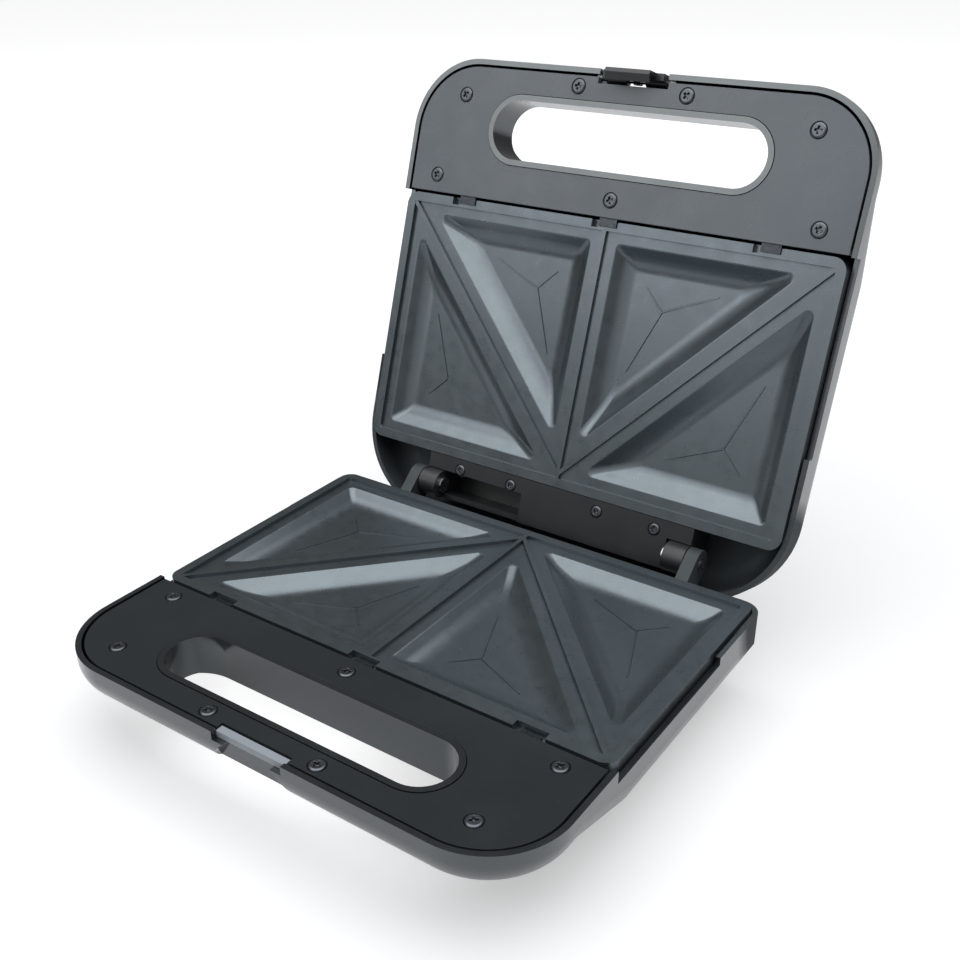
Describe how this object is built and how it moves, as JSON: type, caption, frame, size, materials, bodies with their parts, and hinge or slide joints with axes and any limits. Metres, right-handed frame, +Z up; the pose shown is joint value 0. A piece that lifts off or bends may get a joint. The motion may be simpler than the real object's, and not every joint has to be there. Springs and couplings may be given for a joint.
{
  "type": "sandwich toaster",
  "caption": "Countertop sandwich toaster with a hinged lid, finger slots in both handles, pocketed non-stick plates and a sprung front latch.",
  "frame": {"origin": "on the table, under the middle of the box round the open toaster", "axes": "+Z up from the table, +Y from the handle towards the hinge, +X along the hinge pin; the lid stands open at rest"},
  "size_m": [0.23, 0.2834, 0.2427],
  "materials": {
    "housing_plastic": "smooth gloss black moulding",
    "base_panel_plastic": "fine satin black moulding",
    "lid_panel_plastic": "fine satin black moulding",
    "black_screws": "blackened steel",
    "plate_coating": "dark grey non-stick coating on cast aluminium",
    "spring_steel": "bright zinc plated steel",
    "heater_steel": "dull oxidised steel sheath",
    "shield_metal": "plain rolled sheet",
    "catch_plastic": "smooth black moulding",
    "foot_rubber": "matt black rubber",
    "terminal_plastic": "natural thermoplastic",
    "hinge_plastic": "satin black moulding",
    "pin_steel": "turned steel",
    "thermostat_ceramic": "unglazed steatite",
    "board_laminate": "phenolic board",
    "red_lens": "translucent red",
    "green_lens": "translucent green",
    "latch_plastic": "smooth black moulding"
  },
  "bodies": {
    "base": {"base_housing": "housing_plastic", "base_handle_panel": "base_panel_plastic", "base_panel_screws": "black_screws", "base_plate": "plate_coating", "base_plate_clips": "spring_steel", "base_heating_tube": "heater_steel", "base_heat_shield": "shield_metal", "base_shield_screws": "spring_steel", "catch_bar": "catch_plastic", "rubber_feet": "foot_rubber", "terminal_block": "terminal_plastic", "cord_gland": "foot_rubber"},
    "lid": {"lid_housing": "housing_plastic", "lid_handle_panel": "lid_panel_plastic", "lid_panel_screws": "black_screws", "lid_plate": "plate_coating", "lid_plate_clips": "spring_steel", "lid_heating_tube": "heater_steel", "lid_heat_shield": "shield_metal", "lid_shield_screws": "spring_steel", "hinge_block": "hinge_plastic", "hinge_cover": "hinge_plastic", "hinge_cover_screws": "black_screws", "hinge_pins": "pin_steel", "thermostat": "thermostat_ceramic", "thermal_fuse": "thermostat_ceramic", "lamp_board": "board_laminate", "power_lamp_lens": "red_lens", "ready_lamp_lens": "green_lens", "latch_pin": "pin_steel", "latch_spring": "spring_steel"},
    "latch": {"latch_lever": "latch_plastic"}
  },
  "joints": [
    {"name": "lid_hinge", "type": "hinge", "parent": "base", "child": "lid", "pos_m": [0, 0.064, 0.045], "axis": [1, 0, 0], "range_deg": [0, 108]},
    {"name": "latch_pivot", "type": "hinge", "parent": "lid", "child": "latch", "pos_m": [0, 0.13234, 0.23592], "axis": [-1, 0, 0], "range_deg": [0, 18], "stiffness_Nm_per_rad": 0.05, "springref_deg": -17.19}
  ]
}
